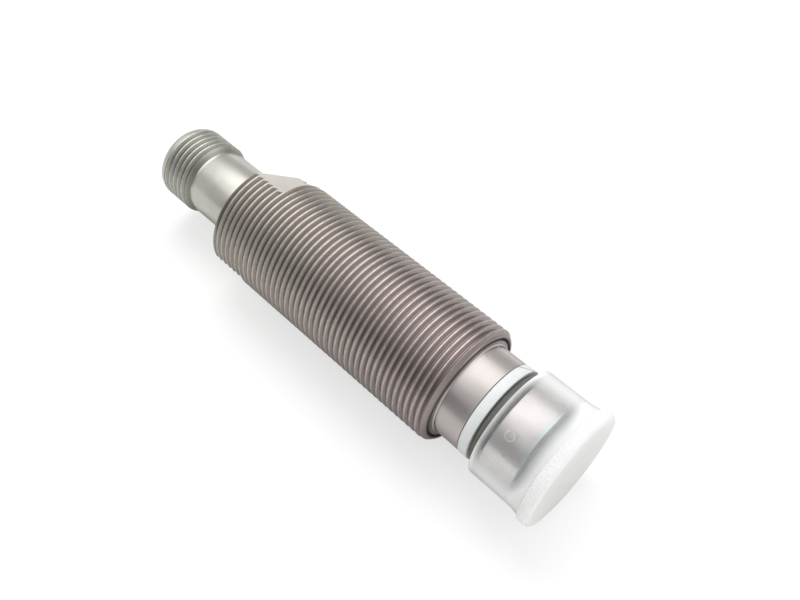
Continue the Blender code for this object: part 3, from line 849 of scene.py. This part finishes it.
def makeThickMilk():
    material, place = startMaterial("thickMilk", {"Subsurface Weight": 1.0,
                                                  "Subsurface Radius": (1.0, 1.0, 1.0),
                                                  "Subsurface Scale": milk["spread"]})
    clouds = place.noise(milk["clouds"], detail=3.0)
    fine = place.noise(milk["grain"], detail=2.0)
    side = 1 - place.split().ramp(capHigh.x - cap["endRound"], capHigh.x - milk["endFrom"])
    colour = clouds.ramp(0.3, 0.8).blend(milk["thick"], milk["cloudy"])
    # painted shade towards the flange's outline, kept off the end face
    outer = turnedAway(place).ramp(*milk["paintedEdgeShadeFrom"]) * side
    feed(material, {"Base Color": outer.blend(colour, milk["outer"]),
                    "Roughness": milk["thickRoughness"] + clouds * 0.08,
                    "Normal": fine.bump(0.04, milk["grainDepth"])})
    return material


# The pieces, what they stand for and what they move with
def dress(piece, body, slot, material, *nodes):
    piece.data.materials.clear()
    piece.data.materials.append(material)
    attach(piece, body)
    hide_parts(*nodes)
    return piece


def markThread(piece, material, inside, start, end):  # the wound faces take the thread's own finish
    rearward = -0.95  # the flat rear end keeps the plain finish
    piece.data.materials.append(material)
    for face in piece.data.polygons:
        out = face.center - axisPoint
        out.x = 0.0
        if start < face.center.x < end and out.length > inside and face.normal.x > rearward:
            face.material_index = 1


def onFlat(face):
    level = 0.9999  # cosine of the angle to the flats
    return abs(face.normal.dot(flatNormal)) > level


def markFlats(piece, material):  # the milled flats take theirs
    piece.data.materials.append(material)
    bm = bmesh.new()
    bm.from_mesh(piece.data)
    for face in filter(onFlat, bm.faces):
        face.material_index = 2
        for edge in face.edges:  # their shading stays level up to the cut edges
            edge.smooth = any(onFlat(other) for other in edge.link_faces if other != face)
    bm.to_mesh(piece.data)
    bm.free()


def markJoint(piece, material):  # dark bottom of the joint line on the shoulder
    frontward = 0.2  # both its sides face the nose
    piece.data.materials.append(material)
    for face in piece.data.polygons:
        out = face.center - axisPoint
        ahead = out.x - shoulderPlace
        out.x = 0.0
        inJoint = abs(out.length - barrel["jointRadius"]) < barrel["jointHalf"]
        if inJoint and -barrel["jointDepth"] - slack < ahead < -slack and face.normal.x > frontward:
            face.material_index = 3


def markFlange(piece, material):  # light spreads inside the thick flange and floor
    piece.data.materials.append(material)
    for face in piece.data.polygons:
        if face.center.x > flangePlace - 2 * slack:
            face.material_index = 1


threadSteel = makeThreadSteel("threadSteel", barrelCrest, steel["rear"], steel["front"])
plugSteel = makeThreadSteel("plugSteel", shellCrest, steel["plug"], steel["plug"])
noseSteel = makeNoseSteel()
neckSteel = makeTurnedSteel("neckSteel", steel["neck"])
flatSteel = makeTurnedSteel("flatSteel", steel["flat"])
finish = {name: makePlastic(name, *look) for name, look in plastics.items()}
for name, look in metals.items():
    finish[name] = makeMetal(name, *look)
print("materials made")

threadedBarrel = dress(makeBarrel(), "sensor", "barrel_steel", noseSteel, "housing_barrel")
markThread(threadedBarrel, threadSteel, barrel["threadInside"], barrelLow.x, shoulderPlace + slack)
markFlats(threadedBarrel, flatSteel)
markJoint(threadedBarrel, finish["blackPlastic"])
print("barrel made")
plugShell = dress(makeShell(), "sensor", "shell_steel", neckSteel, "connector_shell")
markThread(plugShell, plugSteel, shell["threadInside"],
           shellLow.x + shell["leadIn"][0], shellLow.x + shell["plugEnd"])
print("plug shell made")
dress(makeInsert(), "sensor", "black_plastic", finish["blackPlastic"], "contact_carrier")
for number in range(1, 5):
    dress(makePin(number), "sensor", "gold", finish["goldMetal"], f"contact_pin_{number}")
print("pin insert made")
dress(makeBackupRing(), "sensor", "white_ring", finish["whitePlastic"], "backup_ring")
dress(makeSeal(), "sensor", "dark_rubber", finish["darkRubber"], "nose_o_ring")
dress(makeFace(), "sensor", "face_plastic", finish["facePlastic"], "sensing_face")
print("nose pieces made")
markFlange(dress(makeCap(), "cap", "milky_plastic", makeMilk(), "protective_cap"), makeThickMilk())
print("cap made")

# Pieces inside keep their solids
inner = {
    "darkRubber": ("carrier_seal",),
    "castResin": ("rear_potting",),
    "boardGreen": ("circuit_board",),
    "ferriteGrey": ("ferrite_core",),
    "paleNylon": ("coil_bobbin",),
    "chipBlack": ("oscillator_chip", "output_transistor", "protection_diode", "tuning_resistor",
                  "load_resistor"),
    "firedCeramic": ("filter_capacitor_1", "filter_capacitor_2"),
    "copperWire": ("coil_lead_1", "coil_lead_2", "coil_winding"),
    "brownJacket": ("lead_wire_1", "lead_wire_2", "lead_wire_3", "lead_wire_4"),
}
for look, names in inner.items():
    for name in names:
        frame["nodes"][name].material_slots[0].material = finish[look]
print("inner pieces coloured")


# Table, light and camera
studio = {
    "tableSize": 3.0,
    "tableColour": (0.81, 0.80, 0.78, 1.0),
    "tableSeen": (0.42, 0.42, 0.418, 1.0),  # its own colour where the camera sees it
    "tableGlow": 0.6,  # what brings it up to white for the camera
    "farGlow": 0.4,  # added beyond the lamp's reach
    "farFrom": (0.12, 0.6),
    "tableMirror": (0.61, 0.61, 0.60, 1.0),  # and where the steel mirrors it
    "tableMirrored": 0.02,
    "ambient": 0.7,
    "lampPlace": (-0.16, 0.17, 0.46),
    "lampSize": 0.34,
    "lampPower": 1.3,
    "fillPlace": (0.36, -0.1, 0.16),
    "fillSize": 0.2,
    "fillPower": 0.21,
    "tentRadius": 0.9,
    "tentSegments": (64, 48),
    # brightness of the tent from the table's edge to the top, by the sine of the height angle
    "farSide": ((0.0, 0.57), (0.34, 0.53), (0.53, 0.62), (0.67, 0.88), (0.79, 1.06), (0.9, 1.14)),
    "nearSide": ((0.0, 0.5), (0.1, 0.3), (0.5, 0.2), (0.79, 0.74), (0.93, 1.2)),
    "nearTurn": math.radians(-107.0),  # middle of the dark near side, from +X towards +Y
    "nearEdge": (math.cos(math.radians(32.0)), math.cos(math.radians(10.0))),
    # brighter and darker patches: turn from +X towards +Y, height angle, outer and inner radius, brightness
    "patches": (
        (133.0, 63.0, 38.0, 18.0, 0.36),
        (168.0, 46.0, 40.0, 14.0, 0.28),
        (50.0, 38.0, 30.0, 10.0, 0.45),
        (-43.0, 54.0, 38.0, 12.0, -0.45),  # where the camera stands
    ),
}


def makeTable():
    bm = bmesh.new()
    bmesh.ops.create_grid(bm, x_segments=1, y_segments=1, size=studio["tableSize"] / 2)
    table = addPiece("pale_table", bm)
    material, place = startMaterial("paleTable", {"Roughness": 0.7, "Specular IOR Level": 0.1,
                                                  "Emission Strength": 1.0})
    camera = place.node("ShaderNodeLightPath", {}, {}, "Is Camera Ray")
    through = camera + camera.other("Is Transmission Ray")
    mirrored = camera.other("Is Glossy Ray")
    parts = place.split()
    away = (parts * parts + parts.other("Y") * parts.other("Y")) ** 0.5
    glow = studio["tableGlow"] + away.ramp(*studio["farFrom"]) * studio["farGlow"]
    plain = mirrored.blend(studio["tableColour"], studio["tableMirror"])
    feed(material, {"Base Color": through.blend(plain, studio["tableSeen"]),
                    "Emission Color": through * glow + mirrored * studio["tableMirrored"]})
    table.data.materials.append(material)


def makeWorld():
    world = bpy.data.worlds.new("whiteRoom")
    bpy.context.scene.world = world
    world.use_nodes = True
    tree = world.node_tree
    background = tree.nodes["Background"]
    background.inputs["Color"].default_value = (1.0, 1.0, 1.0, 1.0)
    start = Strand(tree, None)
    camera = start.node("ShaderNodeLightPath", {}, {}, "Is Camera Ray")
    seen = camera.math("MAXIMUM", camera, camera.other("Is Glossy Ray"))
    seen = seen.math("MAXIMUM", seen, camera.other("Is Transmission Ray"))
    level = studio["ambient"] + seen * (1 - studio["ambient"])
    tree.links.new(level.socket, background.inputs["Strength"])


def makeLamp(name, place, size, power):
    light = bpy.data.lights.new(name, "AREA")
    light.shape = "DISK"
    light.size = size
    light.energy = power
    lamp = bpy.data.objects.new(name, light)
    lamp.location = place
    lamp.rotation_euler = (-lamp.location).to_track_quat("-Z", "Y").to_euler()
    lamp.visible_glossy = False  # the steel mirrors the tent's bright patches instead
    lamp.visible_transmission = False
    bpy.context.scene.collection.objects.link(lamp)


def makeTent():  # grey tent that the polished steel mirrors, darkest low on the near side
    bm = bmesh.new()
    radius = studio["tentRadius"]
    around, upward = studio["tentSegments"]
    bmesh.ops.create_uvsphere(bm, u_segments=around, v_segments=upward, radius=radius)
    bmesh.ops.bisect_plane(bm, geom=everything(bm), plane_co=(0.0, 0.0, 0.0),
                           plane_no=(0.0, 0.0, -1.0), clear_outer=True)
    tent = addPiece("grey_tent", bm)
    material, place = startMaterial("tentCloth", {"Base Color": (0.0, 0.0, 0.0, 1.0), "Roughness": 1.0,
                                                  "Specular IOR Level": 0.0, "Emission Strength": 1.0})
    x = place.split()
    y, z = x.other("Y"), x.other("Z")
    levels = {}
    for name in ("farSide", "nearSide"):
        stops = [(at, (level, level, level, 1.0)) for at, level in studio[name]]
        levels[name] = z.node("ShaderNodeValToRGB", {"stops": stops}, {"Fac": z / radius})
    turn = studio["nearTurn"]
    facing = (x * math.cos(turn) + y * math.sin(turn)) / (x * x + y * y) ** 0.5
    near = facing.ramp(*studio["nearEdge"])
    cloth = near.blend(levels["farSide"], levels["nearSide"])
    for patch in studio["patches"]:
        turn, rise, outer, inside = (math.radians(angle) for angle in patch[:4])
        level = Vector((math.cos(turn), math.sin(turn), 0.0))
        middle = (level * math.cos(rise) + Vector((0.0, 0.0, math.sin(rise)))) / radius
        toward = x * middle.x + y * middle.y + z * middle.z
        cloth = cloth + toward.ramp(math.cos(outer), math.cos(inside)) * patch[4]
    feed(material, {"Emission Color": cloth})
    tent.data.materials.append(material)
    tent.visible_camera = False
    tent.visible_diffuse = False
    tent.visible_shadow = False


view = {
    "azimuth": math.radians(44.61),
    "elevation": math.radians(54.0),
    "aim": (4.98 * mm, 3.76 * mm),  # on the height of the axis
    "distance": 114.87 * mm,
    "lens": 36.84,
    "sensor": 36.0,
    "clip": (0.005, 20.0),
}


def makeCamera():
    camera = bpy.data.objects.new("camera", bpy.data.cameras.new("camera"))
    bpy.context.scene.collection.objects.link(camera)
    turn, rise = view["azimuth"], view["elevation"]
    back = Vector((math.sin(turn) * math.cos(rise), -math.cos(turn) * math.cos(rise), math.sin(rise)))
    camera.location = Vector((*view["aim"], axisHeight)) + back * view["distance"]
    camera.rotation_euler = (-back).to_track_quat("-Z", "Y").to_euler()
    camera.data.sensor_width = view["sensor"]
    camera.data.lens = view["lens"]
    camera.data.clip_start, camera.data.clip_end = view["clip"]
    bpy.context.scene.camera = camera


makeTable()
makeWorld()
makeLamp("soft_box", studio["lampPlace"], studio["lampSize"], studio["lampPower"])
makeLamp("front_card", studio["fillPlace"], studio["fillSize"], studio["fillPower"])
makeTent()
makeCamera()
bpy.context.scene.view_settings.view_transform = "Standard"
print("table, light and camera set")
